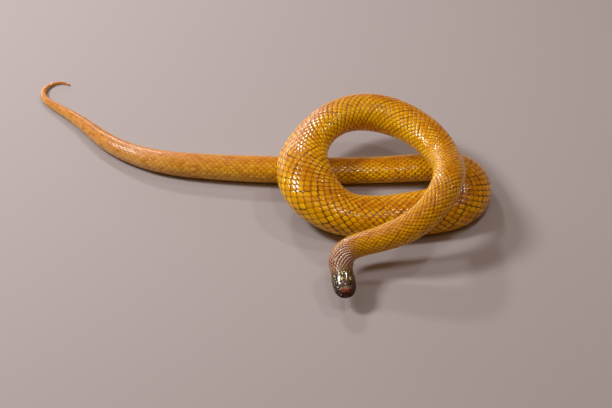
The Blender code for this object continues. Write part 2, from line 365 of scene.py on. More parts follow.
# Supple hide between the scales: matt, much darker than the scales, finely wrinkled.
WRINKLE = 0.6 * MM
hide, tree, bsdf = new_material("snake_hide", Roughness=0.6, Specular_IOR_Level=0.25)
between = add_node(tree, "Mix", [(0, 0.9), (6, markings(tree)), (7, linear("#84501C"))],
                   data_type="RGBA", blend_type="MULTIPLY")
tree.links.new(between.outputs[2], bsdf.inputs["Base Color"])
place_on_hide = add_node(tree, "TexCoord").outputs["Object"]
wrinkles = add_node(tree, "TexNoise", [("Vector", place_on_hide), ("Scale", 1 / WRINKLE)])
relief = add_node(tree, "Bump", [("Height", wrinkles.outputs[0]), ("Strength", 0.3),
                                 ("Distance", 0.1 * MM)])
tree.links.new(relief.outputs[0], bsdf.inputs["Normal"])

skin_s = np.r_[np.linspace(0, FINE_UNTIL, 7)[:-1], np.arange(FINE_UNTIL, FINE_FROM, 2.0),
               np.arange(FINE_FROM, SNAKE_LENGTH - 3, 0.5),
               SNAKE_LENGTH - 3 * np.linspace(1, 0, 12) ** 2][1:-1]
skin_around = np.linspace(-1, 1, 97)[:-1]
grid_s, grid_a = np.meshgrid(skin_s, skin_around, indexing="ij")
under = np.clip(np.minimum(grid_s / 3, (SNAKE_LENGTH - grid_s) / 1.5), 0.25, 1)
skin_points = place(grid_s, grid_a, -scale_depth(grid_s) * under)
for eye_side in (-1, 1):
    skin_points = sink_round_eye(skin_points, eye_side)
rows, cols = grid_s.shape
index = np.arange(rows * cols).reshape(rows, cols)
beside = np.roll(index, -1, axis=1)
quads = np.stack([index[:-1], beside[:-1], beside[1:], index[1:]], -1).reshape(-1, 4)
tail_pole, snout_pole = rows * cols, rows * cols + 1
faces = quads.tolist()
faces += np.stack([np.full(cols, tail_pole), beside[0], index[0]], -1).tolist()
faces += np.stack([np.full(cols, snout_pole), index[-1], beside[-1]], -1).tolist()
poles = place(np.array([0.0, SNAKE_LENGTH]), np.array([0.0, 0.0]), np.array([-0.1, -0.2]))
skin_points = np.vstack([skin_points.reshape(-1, 3), poles])
skin_values = {"along": np.r_[grid_s.ravel(), 0, SNAKE_LENGTH] / SNAKE_LENGTH,
               "around": np.abs(np.r_[grid_a.ravel(), 0.5, 0.5])}
skin_unwrap = np.stack([skin_values["along"], np.r_[grid_a.ravel(), 0, 0] / 2 + 0.5], 1)
skin = build_mesh("skin", skin_points, faces, skin_values, skin_unwrap)
skin.data.materials.append(hide)
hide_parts("head", "neck", "tail", "tail_tip", *[f"trunk_{k}" for k in range(1, 10)])

# ------------------------------
# BACK SCALES
# Smooth lozenge-shaped scales of clear keratin over golden pigment, in 23 rows at
# midbody. Each grows from its front end and lies over the front of the one behind.
# ------------------------------
# distance: how many rows lie between the two edges of the belly plates
ROW_COUNTS = ((0, 5), (40, 7), (80, 9), (120, 11), (165, 13), (200, 15), (230, 17), (330, 19),
              (430, 21), (520, 23), (1240, 25), (1488, 25))
BACK_SHARE = 0.655    # of the girth; the belly plates take the rest
SCALE_LONG = 1.5      # of the row's length, so a third of each scale lies under the last
WIDEST = 0.6          # how far along it a scale is widest
SCALE_WIDE = 0.87     # half width, of the space between two rows
RELAXED = 3.6         # widest half scale that the skin's stretch doesn't part from the next
NAPE_AT, NAPE_SPREAD = 1440, 16   # where painted highlights on rear edges cross the bend of the neck
THROAT_FROM = HEAD_STARTS + 13    # ahead of here small scales go all the way round
SLOPE, DOME, RIM_FALL, ROOT_SINK = 0.7, 0.34, 0.3, 0.25    # of the coat's depth
HIDDEN = 0.333        # share of a scale's length that lies under the one before it
ALONG_STEPS = np.array([0, 0.34, 0.5, 0.66, 0.8, 0.91, 1.0])
ACROSS_STEPS = np.array([-1, -0.82, -0.42, 0, 0.42, 0.82, 1.0])


def front_edge(around):
    """Where the head shields end, as a distance along the spine, for each place around."""
    return HEAD_STARTS + curve(((0, 16.6), (0.2, 16.6), (0.36, 18.6), (0.5, 18.0), (0.62, 18.8),
                                (0.66, 21), (0.69, 29), (0.72, 34), (0.77, 35.5),
                                (0.815, 34), (0.85, 29), (1, 27.4)), np.abs(around))


def row_places(per_row):
    """Distances of the rows along the spine, per_row of them to each length in ROW."""
    s = np.linspace(0, SNAKE_LENGTH, 6000)
    count = np.r_[0, np.cumsum(np.diff(s) / curve(ROW, (s[1:] + s[:-1]) / 2))] * per_row
    return np.interp(np.arange(1, int(count[-1])), count, s)


def lattice(first, last):
    """Centres of the scales: rings half a row apart, each holding every second row.
    Returns distance, place around, row number, ring number and space between rows."""
    steps = np.array(ROW_COUNTS)
    found = []
    for number, at in enumerate(row_places(2)):
        if first <= at < last:
            rows_here = steps[np.searchsorted(steps[:, 0], at, side="right") - 1, 1]
            gap = 2 * BACK_SHARE / rows_here
            if at > THROAT_FROM:
                row = np.arange(1 - round(1 / gap), round(1 / gap) + 1)
            else:
                row = np.arange(-(rows_here // 2), rows_here // 2 + 1)
            row = row[(row + number) % 2 == 0]
            found.append(np.stack([np.full(len(row), at), row * gap, row,
                                   np.full(len(row), number), np.full(len(row), gap)], 1))
    return np.vstack(found)


def lay_scales(centre_s, centre_a, length, half_width):
    """Scales as (scale, along, across) grids. A scale widens as a quarter of a sine up to
    its widest place and closes to a blunt tip as the root of 1 - x squared. It rises
    steadily to its tip, with a crown of 1 - across squared, and its rim turns down."""
    a, b = ALONG_STEPS[None, :, None], ACROSS_STEPS[None, None, :]
    opening = 0.5 + 0.5 * np.sin(np.pi / 2 * np.minimum(a / WIDEST, 1))
    closing = np.maximum((a - WIDEST) / (1 - WIDEST), 0)
    wide = opening * np.maximum(1 - closing ** 1.5, 0.02) ** 0.72
    s = centre_s[:, None, None] + length[:, None, None] * (0.5 - a) + 0 * b
    s = np.clip(s, 0.3, SNAKE_LENGTH - 0.5)
    per_mm = 1 / np.interp(s, stations, half_girth)
    around = centre_a[:, None, None] + b * wide * half_width[:, None, None] * per_mm
    rim = np.maximum(np.abs(b) > 0.99, a > 0.99) + 0 * s
    crown = DOME * (1 - b ** 2) * np.sin(np.pi * np.clip(a, 0.1, 0.92)) ** 0.5
    height = SLOPE * a + crown - RIM_FALL * rim - ROOT_SINK * (a < 0.01)
    return s, around, place(s, around, (np.minimum(height, 1) - 1) * scale_depth(s)), rim


def grid_faces(count, n, m):
    """Faces of count closed scales, each an n by m grid of points, top outwards, with one
    face that closes its underside."""
    k = np.arange(n * m).reshape(n, m)
    top = np.stack([k[:-1, :-1], k[1:, :-1], k[1:, 1:], k[:-1, 1:]], -1).reshape(-1, 4)
    border = np.r_[k[0, :], k[1:, -1], k[-1, -2::-1], k[-2:0:-1, 0]]
    start = (np.arange(count) * n * m)[:, None, None]
    return (top[None] + start).reshape(-1, 4).tolist() + (border[None] + start[:, 0]).tolist()


def chance_of(*numbers):
    """A repeatable number from 0 to 1 for each scale, from its row and ring."""
    mix = sum(n * k for n, k in zip(numbers, (12.9898, 78.233, 37.719)))
    return np.abs(np.sin(mix) * 43758.5453) % 1


def patches(s, around, first, last, n_along, n_across):
    """The OFBake map: each scale is a patch 0.003 across at its root's place on the
    unrolled skin, from first to last along and from belly line to belly line across."""
    root_u = (s[:, 0, 0] - first) / (last - first)
    root_v = around[:, 0, n_across // 2] / 2 + 0.5
    a = np.linspace(-0.0015, 0.0015, n_along)[None, :, None]
    b = np.linspace(-0.0015, 0.0015, n_across)[None, None, :]
    u = 0.01 + 0.98 * np.clip(root_u, 0, 1)[:, None, None] + a + 0 * b
    v = 0.01 + 0.98 * np.clip(root_v, 0, 1)[:, None, None] + b + 0 * a
    return np.stack([u, v], -1)


# Clear keratin over pigment: glossy, so each scale carries a small bright window, with a
# dark front edge where marked, dusky rims, a painted highlight on rear edges across the nape, and each
# scale a little different from the next.
GRAIN = 0.35 * MM
keratin, tree, bsdf = new_material(
    "scale_keratin", Roughness=0.36, Specular_IOR_Level=0.2, Specular_Tint=linear("#FFB030"),
    Coat_Weight=0.5, Coat_Roughness=0.1)
mark = {name: add_node(tree, "Attribute", attribute_name=name).outputs["Fac"]
        for name in ("chance", "painted_nape_highlight", "fleck", "dark", "rim")}
tint = add_node(tree, "ValToRGB", [(0, mark["chance"])],
                ((0, "#E0C898"), (1, "#FFFFFF"), (0.5, "#F6ECD8")))
rim_share = add_node(tree, "MapRange", [(0, mark["rim"]), (1, 0.35), (2, 1.0), (3, 0.0), (4, 0.5)])
edge = add_node(tree, "MapRange", [(0, mark["fleck"]), (1, 0.0), (2, 0.08)])
fleck = add_node(tree, "Math", [(0, edge.outputs[0]), (1, mark["dark"])], operation="MULTIPLY")
base = markings(tree)
for share, colour, blend in (
        (1.0, tint.outputs[0], "MULTIPLY"),
        # painted highlight on the edges of the nape's scales
        (mark["painted_nape_highlight"], linear("#FAF4EC"), "MIX"),
        (rim_share.outputs[0], linear("#5E3206"), "MIX"),
        (fleck.outputs[0], linear("#442404"), "MIX")):
    base = add_node(tree, "Mix", [(0, share), (6, base), (7, colour)], data_type="RGBA",
                    blend_type=blend).outputs[2]
tree.links.new(base, bsdf.inputs["Base Color"])
place_on_scale = add_node(tree, "TexCoord").outputs["Object"]
grain = add_node(tree, "TexNoise", [("Vector", place_on_scale), ("Scale", 1 / GRAIN)])
relief = add_node(tree, "Bump", [("Height", grain.outputs[0]), ("Strength", 0.12),
                                 ("Distance", 0.05 * MM)])
tree.links.new(relief.outputs[0], bsdf.inputs["Normal"])


def back_scales(name, first, last):
    """One piece of the coat of back scales, from first to last along the spine."""
    cells = lattice(first, last)
    cells = cells[cells[:, 0] < front_edge(cells[:, 1])]
    at, around, row, number, gap = cells.T
    chance = chance_of(row, number)
    space = gap * np.interp(at, stations, half_girth)
    reach = SCALE_WIDE * space
    half_width = np.minimum(reach, RELAXED + 0.35 * (reach - RELAXED))
    s, a, points, rim = lay_scales(at, around, SCALE_LONG * curve(ROW, at), half_width)
    # Every scale has a fleck that darkens one front edge. The darkest follow one another
    # down slanting lines for a few rows: along most on their belly side, or on the other.
    down, up = (number + np.abs(row)) // 2, (number - np.abs(row)) // 2
    first_kind = (down % 2 == 0) & (chance_of(down, np.sign(row), np.abs(row) // 3) > 0.6)
    second_kind = (up % 3 == 1) & (chance_of(up, np.sign(row) + 5, np.abs(row) // 2) > 0.7)
    dark = np.where(first_kind | second_kind, 0.85, 0.6 + 0.15 * (chance > 0.5))
    dark *= np.clip((at - 120) / 420, 0, 1) * np.where(np.abs(around) < 0.6, 1, 0.4)
    facing = np.sign(row + 0.01) * np.where(second_kind & ~first_kind, -1, 1)
    lower = ACROSS_STEPS[None, None, :] * facing[:, None, None]
    wide = 0.12 + 0.07 * lower + 0.14 * (dark - 0.7)[:, None, None] * (1 + lower)
    fleck = (HIDDEN + 0.3 * np.abs(lower) + np.clip(wide, 0.06, 0.25)
             - ALONG_STEPS[None, :, None])
    # On the nape each scale's rear and right edges carry a painted highlight, so bright lines
    # cross the bend, most of all on the body's right side, which faces the light.
    nape_highlight_share = 2.0 * bump(at, NAPE_AT, NAPE_SPREAD) * np.clip(0.6 + around, 0.15, 1)
    nape_highlight_share = np.clip(nape_highlight_share, 0, 1)[:, None, None]
    tip = np.clip((ACROSS_STEPS - 0.45) / 0.3, 0, 1)[None, None, :] * (ALONG_STEPS > 0.4)[None, :, None]
    tip = np.maximum(tip, ((ALONG_STEPS > 0.9)[:, None] & (ACROSS_STEPS > -0.1)[None, :])[None])
    values = {"along": s / SNAKE_LENGTH, "around": np.abs((a + 1) % 2 - 1), "rim": rim,
              "chance": chance[:, None, None] + 0 * s, "fleck": fleck + 0 * s,
              "dark": dark[:, None, None] + 0 * s, "painted_nape_highlight": nape_highlight_share * tip + 0 * s}
    n, m = len(ALONG_STEPS), len(ACROSS_STEPS)
    ob = build_mesh(name, points, grid_faces(len(at), n, m), values,
                    patches(s, a, first, last, n, m))
    ob.data.materials.append(keratin)
    return ob


for number, (first, last) in enumerate(((1, 420), (420, 700), (700, 960), (960, 1210),
                                        (1210, 1480))):
    back_scales(f"back_scales_{number + 1}", first, last)

# ------------------------------
# BELLY PLATES
# One broad smooth plate for each row of the trunk, a single plate over the vent and
# paired plates under the tail. Each lies over the front of the plate behind it.
# ------------------------------
VENT_AT = 219
PLATE_STEPS = np.array([0, 0.35, 0.8, 1.0])
PLATE_LAP = 0.012     # how far the plates reach in among the back scales
PAIR_LAP = 0.006      # how far the plates of a pair cross the belly line


def lay_plates(centre_s, length, start_a, end_a, steps):
    """Plates as (plate, along, across) grids between two places around the belly. The rear
    edge bows back in the middle, and the rim turns down into the skin."""
    a, b = PLATE_STEPS[None, :, None], np.linspace(-1, 1, steps)[None, None, :]
    bow = 0.1 * (b ** 2) * a
    s = centre_s[:, None, None] + length[:, None, None] * (0.5 - a + bow)
    s = np.clip(s, 0.3, SNAKE_LENGTH - 0.5)
    narrow = 1 - 0.05 * a ** 2 * np.abs(b)
    around = (start_a + end_a)[:, None, None] / 2 + b * narrow * (end_a - start_a)[:, None, None] / 2
    around = around + 0 * a
    rim = np.maximum(np.abs(b) > 0.99, a > 0.99) * 1.0 + 0 * b
    height = np.minimum(0.62 * a + 0.37 - 0.3 * rim - 0.6 * (a < 0.01), 1)
    return s, around, place(s, around, (height - 1) * scale_depth(s))


def belly_plates(name, first, last, paired):
    """One piece of belly plates from first to last along the spine."""
    at = row_places(1)
    at = at[(at >= first) & (at < last)]
    edge = BACK_SHARE - PLATE_LAP
    low = np.full(len(at), edge)
    if paired:
        at = np.repeat(at, 2)
        second = np.tile([0.0, 1.0], len(at) // 2)
        low = np.where(second > 0, 1 - PAIR_LAP, edge)
        high = np.where(second > 0, 2 - edge, 1 + PAIR_LAP)
        at = at + second * curve(ROW, at) / 2
    else:
        high = 2 - low
    steps = 7 if paired else 13
    s, a, points = lay_plates(at, 1.5 * curve(ROW, at), low, high, steps)
    chance = chance_of(at, low)
    n = len(PLATE_STEPS)
    values = {"along": s / SNAKE_LENGTH, "around": np.abs((a + 1) % 2 - 1),
              "chance": chance[:, None, None] + 0 * s}
    middle = patches(s, a, first, last, n, steps)
    middle[..., 1] = 0.01 + 0.98 * ((a % 2) / 2)
    ob = build_mesh(name, points, grid_faces(len(at), n, steps), values, middle)
    ob.data.materials.append(keratin)
    return ob


belly_plates("tail_plates", 4, VENT_AT - 3, True)
belly_plates("belly_plates", VENT_AT - 3, HEAD_STARTS + 14, False)

# ------------------------------
# HEAD SHIELDS
# Large smooth plates of polished keratin fitted edge to edge over the skull and jaws,
# with fine grooves between them. They part at the mouth and round the eyes.
# ------------------------------
# rings of a shield: share of the way out, distance in from the rim, height over the outline
SHIELD_RINGS = ((0, 0, 0), (0.18, 0, 0), (0.36, 0, 0), (0.55, 0, 0), (0.76, 0, -0.01),
                (1, 0.45, -0.03), (1, 0.25, -0.07), (1, 0.1, -0.15), (1, 0.02, -0.28), (1, 0, -0.7))
OUTLINE_POINTS = 60
GROOVE = 0.035                    # half the groove between two shields
EYE_RIM = 2.3                     # opening that the shields leave round the eye
OFF_THE_EYE = 2.7
head_rows = stations >= HEAD_STARTS
head_t = stations[head_rows] - HEAD_STARTS
head_side, head_rise = (k[head_rows][:, COLUMNS:] for k in (flat_side, flat_rise))
places_round = np.linspace(0, 1, COLUMNS + 1)


def section_at(t):
    """The right half of the head's section, from crown to chin, at each distance t."""
    i = np.interp(t, head_t, np.arange(len(head_t)))
    i0 = np.minimum(i.astype(int), len(head_t) - 2)
    u = (i - i0)[:, None]
    return (head_side[i0] * (1 - u) + head_side[i0 + 1] * u,
            head_rise[i0] * (1 - u) + head_rise[i0 + 1] * u)


def crossing(values, target):
    """Place around where each row of falling values first drops to its target."""
    k = np.clip((values <= target[:, None]).argmax(axis=1), 1, values.shape[1] - 1)
    n = np.arange(len(k))
    before, after = values[n, k - 1], values[n, k]
    share = np.clip((before - target) / np.maximum(before - after, 1e-9), 0, 1)
    return (k - 1 + share) / COLUMNS


def from_above(t, x):
    """Drawn from above as (forward, sideways), on the upper side of the head."""
    side, _ = section_at(t)
    climbing = np.maximum.accumulate(side, axis=1)
    return t, crossing(-climbing, -np.minimum(np.abs(x), climbing.max(axis=1) - 1e-6)) * np.sign(x)


def from_below(t, x):
    """Drawn from below as (forward, sideways), on the under side of the head."""
    side, _ = section_at(t)
    falling = np.maximum.accumulate(side[:, ::-1], axis=1)[:, ::-1]
    return t, crossing(falling, np.abs(x)) * np.sign(x + 1e-9)


def from_the_side(t, z):
    """Drawn from the right as (forward, up)."""
    _, rise = section_at(t)
    return t, crossing(rise, z)


def from_the_front(x, z):
    """Drawn from the front as (sideways, up): along each direction from the snout's tip,
    the distance forward where the section is as wide as the drawn point is far."""
    way, far = np.arctan2(z, np.abs(x)), np.hypot(x, z)
    rows = np.where(head_t > 36)[0]
    reach, around = np.zeros((len(rows), len(x))), np.zeros((len(rows), len(x)))
    for k, row in enumerate(rows):
        ways = np.arctan2(head_rise[row], np.maximum(head_side[row], 1e-6))[::-1]
        reach[k] = np.interp(way, ways, np.hypot(head_side[row], head_rise[row])[::-1])
        around[k] = np.interp(way, ways, places_round[::-1])
    k = np.clip((reach <= far).argmax(axis=0), 1, len(rows) - 1)
    n = np.arange(len(x))
    share = (reach[k - 1, n] - far) / np.maximum(reach[k - 1, n] - reach[k, n], 1e-9)
    share = np.clip(share, 0, 1)
    t = head_t[rows][k - 1] * (1 - share) + head_t[rows][k] * share
    return t, (around[k - 1, n] * (1 - share) + around[k, n] * share) * np.sign(x + 1e-9)


def rounded(corners):
    """A closed outline with even steps through the corners, which are then softened by
    averaging neighbours. Returns it run anticlockwise, with the outward direction."""
    p = np.array(corners, float)
    loop = np.vstack([p, p[:1]])
    run = np.r_[0, np.cumsum(np.linalg.norm(np.diff(loop, axis=0), axis=1))]
    at = np.arange(OUTLINE_POINTS) * run[-1] / OUTLINE_POINTS
    p = np.stack([np.interp(at, run, loop[:, 0]), np.interp(at, run, loop[:, 1])], 1)
    p = (np.roll(p, 1, 0) + 2 * p + np.roll(p, -1, 0)) / 4
    x, y = p.T
    if (x * np.roll(y, -1) - y * np.roll(x, -1)).sum() < 0:
        p = p[::-1]
    tangent = np.roll(p, -2, 0) - np.roll(p, 2, 0)
    outward = np.stack([tangent[:, 1], -tangent[:, 0]], 1)
    return p, outward / np.linalg.norm(outward, axis=1)[:, None]


def shield(draw, corners, mirrored, clear_eye=False):
    """One plate on the right side, or on the left if mirrored: rings of points from the
    middle to the outline, arched over, with a rounded rim that goes down into the skin."""
    rim, outward = rounded(corners)
    if clear_eye:
        off = rim - (EYE_FORWARD, EYE_UP)
        far = np.linalg.norm(off, axis=1)
        rim = rim + off * (np.maximum(EYE_RIM / far, 1) - 1)[:, None]
    middle = rim.mean(axis=0)
    share, inset, height = (np.array(k)[1:, None, None] for k in zip(*SHIELD_RINGS))
    p = middle + share * (rim - outward * (inset + GROOVE) - middle)
    p = np.vstack([middle[None], p.reshape(-1, 2)])
    t, around = draw(p[:, 0], p[:, 1])
    n = len(rim)
    height = np.r_[0, np.repeat(height.ravel(), n)]
    points = place(HEAD_STARTS + t, around, height)
    away = points - eye_centre(1)
    far = np.linalg.norm(away, axis=1)[:, None]
    points += away * (np.maximum(OFF_THE_EYE * MM / far, 1) - 1)
    k = 1 + np.arange((len(SHIELD_RINGS) - 1) * n).reshape(-1, n)
    beside = np.roll(k, -1, axis=1)
    faces = np.stack([np.zeros(n, int), k[0], beside[0]], -1).tolist()
    faces += np.stack([k[:-1], k[1:], beside[1:], beside[:-1]], -1).reshape(-1, 4).tolist()
    faces.append(k[-1, ::-1].tolist())
    if mirrored:
        nose = along_spine(line, np.array([float(HEAD_STARTS + 20)]))
        across, at = nose["right"][0], nose["path"][0] * MM
        points = points - 2 * ((points - at) @ across)[:, None] * across
        around = -around
    # Darkness rises towards the rim for the dark grooves, and round the nostril it is painted shade in
    # the pit.
    rim_and_nostril_shade = np.r_[0, np.repeat(np.arange(len(share)) / (len(share) - 1), n)]
    if draw is from_the_side:
        rim_and_nostril_shade = np.maximum(rim_and_nostril_shade, bump(np.hypot(*(p - NOSTRIL).T), 0, 0.5))
    return points, faces, t, around, rim_and_nostril_shade


def lip(t):
    """The mouth's slit as one number."""
    return float(lip_line(np.array([t]))[0])


LIP_ENDS = (45.3, 43.3, 39.9, 35.2, 31.0, 26.0, 18.5)
LIP_TOPS = (0.8, 1.6, 2.1, 1.8, 1.9, 2.6, 2.5)
JAW_ENDS = (45.0, 43.2, 40.2, 36.4, 31.6, 26.2, 19.0)
JAW_LOWS = (-1.9, -2.85, -3.35, -3.7, -4.1, -4.5, -4.6)
drawn = [   # view, corners, one of a pair, whether it borders the eye, share of painted cream glints
    # rostral, then internasals, nasals and prefrontals
    (from_the_front, ((-2.9, -0.9), (0, -0.55), (2.9, -0.9), (3.3, 0.7), (2.5, 2.7), (0, 4.2),
        (-2.5, 2.7), (-3.3, 0.7)), False, False, 0),
    (from_above, ((43.95, 0), (44.5, 1.3), (44.85, 2.4), (44.3, 3.3), (43.2, 4.15), (41.6, 4.75),
        (40.4, 5.6), (40.4, 0)), True, False, 0),
    (from_the_side, ((45.25, 0.95), (44.95, 2.45), (44.3, 3.0), (43.2, 3.75), (41.6, 4.65),
        (40.4, 4.95), (40.1, 2.2), (43.2, 1.7)), True, False, 0),
    (from_above, ((40.4, 0), (40.4, 5.6), (38.8, 5.75), (37.6, 5.9), (37.2, 3.0), (37.9, 0)),
     True, False, 0),
    # frontal, supraoculars and parietals
    (from_above, ((37.9, 0), (37.2, 2.95), (32.0, 2.6), (29.6, 2.45), (26.9, 0), (29.6, -2.45),
        (32.0, -2.6), (37.2, -2.95)), False, False, 0),
    (from_above, ((37.2, 2.95), (37.6, 5.9), (36.6, 6.3), (34.8, 6.9), (33.4, 7.7), (32.2, 7.75),
        (30.2, 7.5), (29.3, 5.3), (29.6, 2.45), (32.0, 2.6)), True, False, 0),
    (from_above, ((26.9, 0), (29.6, 2.45), (29.3, 5.3), (30.2, 7.5), (27.0, 7.9), (23.8, 8.0),
        (20.6, 8.2), (18.4, 7.4), (16.8, 3.6), (17.2, 0)), True, False, 1),
    # preocular, two postoculars, two rows of temporals
    (from_the_side, ((40.1, 2.2), (40.4, 4.95), (38.8, 5.55), (37.6, 5.95), (36.6, 6.1),
        (36.0, 4.0), (36.6, 2.1), (38.2, 2.0)), True, True, 0),
    (from_the_side, ((33.4, 6.2), (32.2, 6.5), (30.2, 6.85), (29.6, 5.5), (29.8, 4.15),
        (33.0, 4.05)), True, True, 0),
    (from_the_side, ((33.0, 4.05), (29.8, 4.15), (29.2, 2.4), (31.0, 1.9), (33.4, 1.9)),
     True, True, 0),
    (from_the_side, ((29.6, 5.5), (30.2, 6.85), (27.0, 7.0), (23.8, 7.1), (23.4, 4.9),
        (26.4, 4.5), (29.8, 4.15)), True, False, 0.6),
    (from_the_side, ((29.8, 4.15), (26.4, 4.5), (23.4, 4.9), (22.6, 2.55), (26.0, 2.6),
        (29.2, 2.35)), True, False, 0.3),
    (from_the_side, ((23.8, 7.1), (20.6, 7.1), (18.4, 6.9), (18.2, 4.8), (23.4, 4.9)),
     True, False, 0.6),
    (from_the_side, ((23.4, 4.9), (18.2, 4.8), (17.8, 2.5), (22.6, 2.55)), True, False, 0.3),
    # two pairs of chin shields and the mental
    (from_below, ((43.85, 0), (43.75, 1.8), (43.3, 3.0), (42.0, 4.4), (40.2, 5.35), (38.0, 6.4),
        (36.8, 6.7), (36.4, 5.0), (36.2, 3.2), (36.2, 0)), True, False, 0),
    (from_below, ((36.1, 0), (36.1, 3.2), (36.25, 5.3), (33.0, 5.3), (29.4, 4.6), (28.4, 1.9),
        (29.0, 0)), True, False, 0),
    (from_the_front, ((-2.5, -1.3), (0, -1.2), (2.5, -1.3), (1.9, -2.05), (0, -2.75),
        (-1.9, -2.05)), False, False, 0),
]
for k in range(6):
    fore, aft = LIP_ENDS[k], LIP_ENDS[k + 1]
    half = (fore + aft) / 2
    drawn.append((from_the_side, ((fore, lip(fore) + 0.15), (fore, LIP_TOPS[k]),
        (half, (LIP_TOPS[k] + LIP_TOPS[k + 1]) / 2 + 0.1),
        (aft, LIP_TOPS[k + 1]), (aft, lip(aft) + 0.15),
        (half, lip(half) + 0.15)), True, k in (2, 3), 0))
    fore, aft = JAW_ENDS[k], JAW_ENDS[k + 1]
    half = (fore + aft) / 2
    drawn.append((from_the_side, ((fore, lip(fore) - 0.15), (half, lip(half) - 0.15),
        (aft, lip(aft) - 0.15), (aft, JAW_LOWS[k + 1]),
        (half, (JAW_LOWS[k] + JAW_LOWS[k + 1]) / 2 - 0.1),
        (fore, JAW_LOWS[k])), True, False, 0))

all_points, all_faces, all_t, all_around, all_chance, all_rim_and_nostril_shade, all_cream_glints = [], [], [], [], [], [], []
count = 0
for number, (draw, corners, paired, clear_eye, painted_cream_glints) in enumerate(drawn):
    for mirrored in (False, True)[:1 + paired]:
        points, faces, t, around, shield_rim_and_nostril_shade = shield(draw, corners, mirrored, clear_eye)
        all_points.append(points)
        all_faces += [[i + count for i in face[::-1 if mirrored else 1]] for face in faces]
        count += len(points)
        all_t.append(t)
        all_around.append(around)
        all_rim_and_nostril_shade.append(shield_rim_and_nostril_shade)
        all_chance.append(np.full(len(t), float(chance_of(number + 1, mirrored))))
        all_cream_glints.append(np.full(len(t), painted_cream_glints))
all_t, all_around = np.concatenate(all_t), np.concatenate(all_around)
shield_values = {"along": (HEAD_STARTS + all_t) / SNAKE_LENGTH, "around": np.abs(all_around),
                 # the rim value holds the dark grooves and the painted shade in the nostrils
                 "chance": np.concatenate(all_chance), "rim": np.concatenate(all_rim_and_nostril_shade),
                 # painted glints in cream on the crown's shields
                 "painted_cream_glints": np.concatenate(all_cream_glints),
                 "rust": 0.9 * bump(all_t, 39.3, 2.1) * bump(all_around, 0, 0.2),
                 # painted highlight across the brow
                 "painted_brow_highlight": 0.8 * bump(all_t, 36.9, 0.7) * bump(all_around, 0, 0.34) ** 2}
shields = build_mesh("head_shields", np.vstack(all_points), all_faces, shield_values,
                     np.stack([all_t / HEAD_LENGTH, all_around / 2 + 0.5], 1))

# Polished keratin: thick, clear and glossy over dark maroon and olive pigment, a little
# uneven, with dark grooves, painted shade in the nostrils, a painted highlight across the
# brow, rust before it and small painted glints in cream towards the nape.
FLECK = 1.5 * MM
polish, tree, bsdf = new_material("shield_keratin", Roughness=0.3, Specular_IOR_Level=0.2,
                                  Coat_Weight=0.6, Coat_Roughness=0.06)
mark = {name: add_node(tree, "Attribute", attribute_name=name).outputs["Fac"]
        for name in ("chance", "painted_cream_glints", "rim", "rust", "painted_brow_highlight")}
tint = add_node(tree, "ValToRGB", [(0, mark["chance"])], ((0, "#C4B4A8"), (1, "#FAF6F2")))
spot_at = add_node(tree, "TexCoord").outputs["Object"]
bent = add_node(tree, "TexNoise", [("Vector", spot_at), ("Scale", 0.8 / FLECK)])
bent = add_node(tree, "VectorMath", [(0, bent.outputs["Color"]), ("Scale", 1.4 * FLECK)],
                operation="SCALE")
bent = add_node(tree, "VectorMath", [(0, spot_at), (1, bent.outputs[0])], operation="ADD")
spots = add_node(tree, "TexVoronoi", [("Vector", bent.outputs[0]), ("Scale", 0.5 / FLECK)])
near = add_node(tree, "MapRange", [(0, spots.outputs["Distance"]), (1, 0.41), (2, 0.3)])
painted_cream_glints = add_node(tree, "Math", [(0, near.outputs[0]), (1, mark["painted_cream_glints"])], operation="MULTIPLY")
# dark grooves between shields, and painted shade in the nostrils
dark_rim_and_nostril_shade = add_node(tree, "MapRange", [(0, mark["rim"]), (1, 0.5), (2, 0.8), (3, 0.0), (4, 0.85)])
base = markings(tree)
for share, colour, blend in (
        (1.0, tint.outputs[0], "MULTIPLY"),
        (mark["rust"], linear("#A83808"), "MIX"),
        # painted highlight across the brow
        (mark["painted_brow_highlight"], linear("#D8C890"), "MIX"),
        # painted glints in cream towards the nape
        (painted_cream_glints.outputs[0], linear("#EADFA8"), "MIX"),
        (dark_rim_and_nostril_shade.outputs[0], linear("#160804"), "MIX")):
    base = add_node(tree, "Mix", [(0, share), (6, base), (7, colour)], data_type="RGBA",
                    blend_type=blend).outputs[2]
tree.links.new(base, bsdf.inputs["Base Color"])
swell = add_node(tree, "TexNoise", [("Vector", spot_at), ("Scale", 1 / FLECK)])
relief = add_node(tree, "Bump", [("Height", swell.outputs[0]), ("Strength", 0.3),
                                 ("Distance", 0.16 * MM)])
for name in ("Normal", "Coat Normal"):
    tree.links.new(relief.outputs[0], bsdf.inputs[name])
shields.data.materials.append(polish)

# ------------------------------
# EYES
# Lidless eyes under a clear scale: a round black pupil, a thin coppery ring and a very
# dark brown iris, wet and glossy.
# ------------------------------
BALL_RINGS, BALL_STEPS = 28, 40
PUPIL, IRIS = 0.15, 0.34          # angles from the line of sight, as shares of half a turn
GAZE = (0.92, 0.32, 0.22)         # how far the eyes look outward, forward and up


